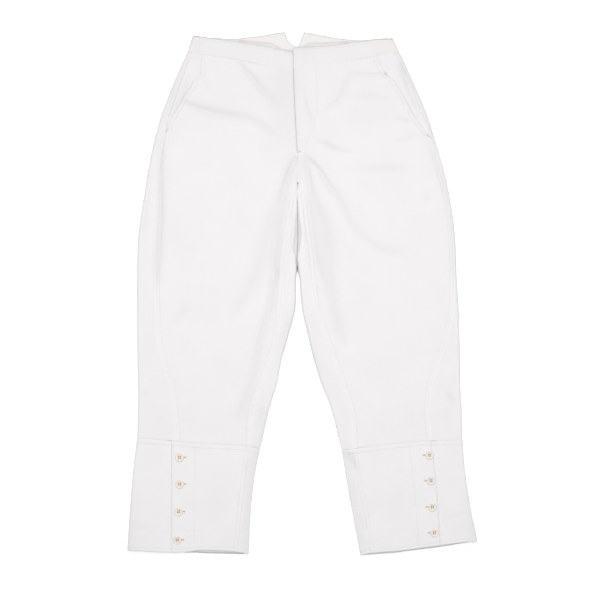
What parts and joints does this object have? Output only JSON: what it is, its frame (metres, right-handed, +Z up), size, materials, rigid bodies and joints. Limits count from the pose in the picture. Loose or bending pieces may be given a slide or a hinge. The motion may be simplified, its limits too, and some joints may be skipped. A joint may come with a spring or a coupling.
{
  "type": "jodhpurs",
  "caption": "White cloth jodhpurs laid flat: full seat and thigh, narrow waistband with a notched back, fly front, slanted pockets, long buttoned cuffs.",
  "frame": {"origin": "middle of the garment's box, on the surface it lies on", "axes": "+X to the wearer's left, +Y towards the waist, +Z up from the surface"},
  "size_m": [0.6468, 0.968, 0.0117],
  "materials": {
    "twill": "matt heavy white cotton twill",
    "button": "polished ivory-coloured button"
  },
  "bodies": {
    "root": {"front_panel_right": "twill", "back_panel_right": "twill", "pocket_facing_right": "twill", "waistband_front_right": "twill", "waistband_back_right": "twill", "cuff_front_right": "twill", "cuff_back_right": "twill", "button_right_1": "button", "button_right_2": "button", "button_right_3": "button", "button_right_4": "button", "front_panel_left": "twill", "back_panel_left": "twill", "pocket_facing_left": "twill", "waistband_front_left": "twill", "waistband_back_left": "twill", "cuff_front_left": "twill", "cuff_back_left": "twill", "button_left_1": "button", "button_left_2": "button", "button_left_3": "button", "button_left_4": "button", "fly_shield": "twill"}
  },
  "joints": []
}
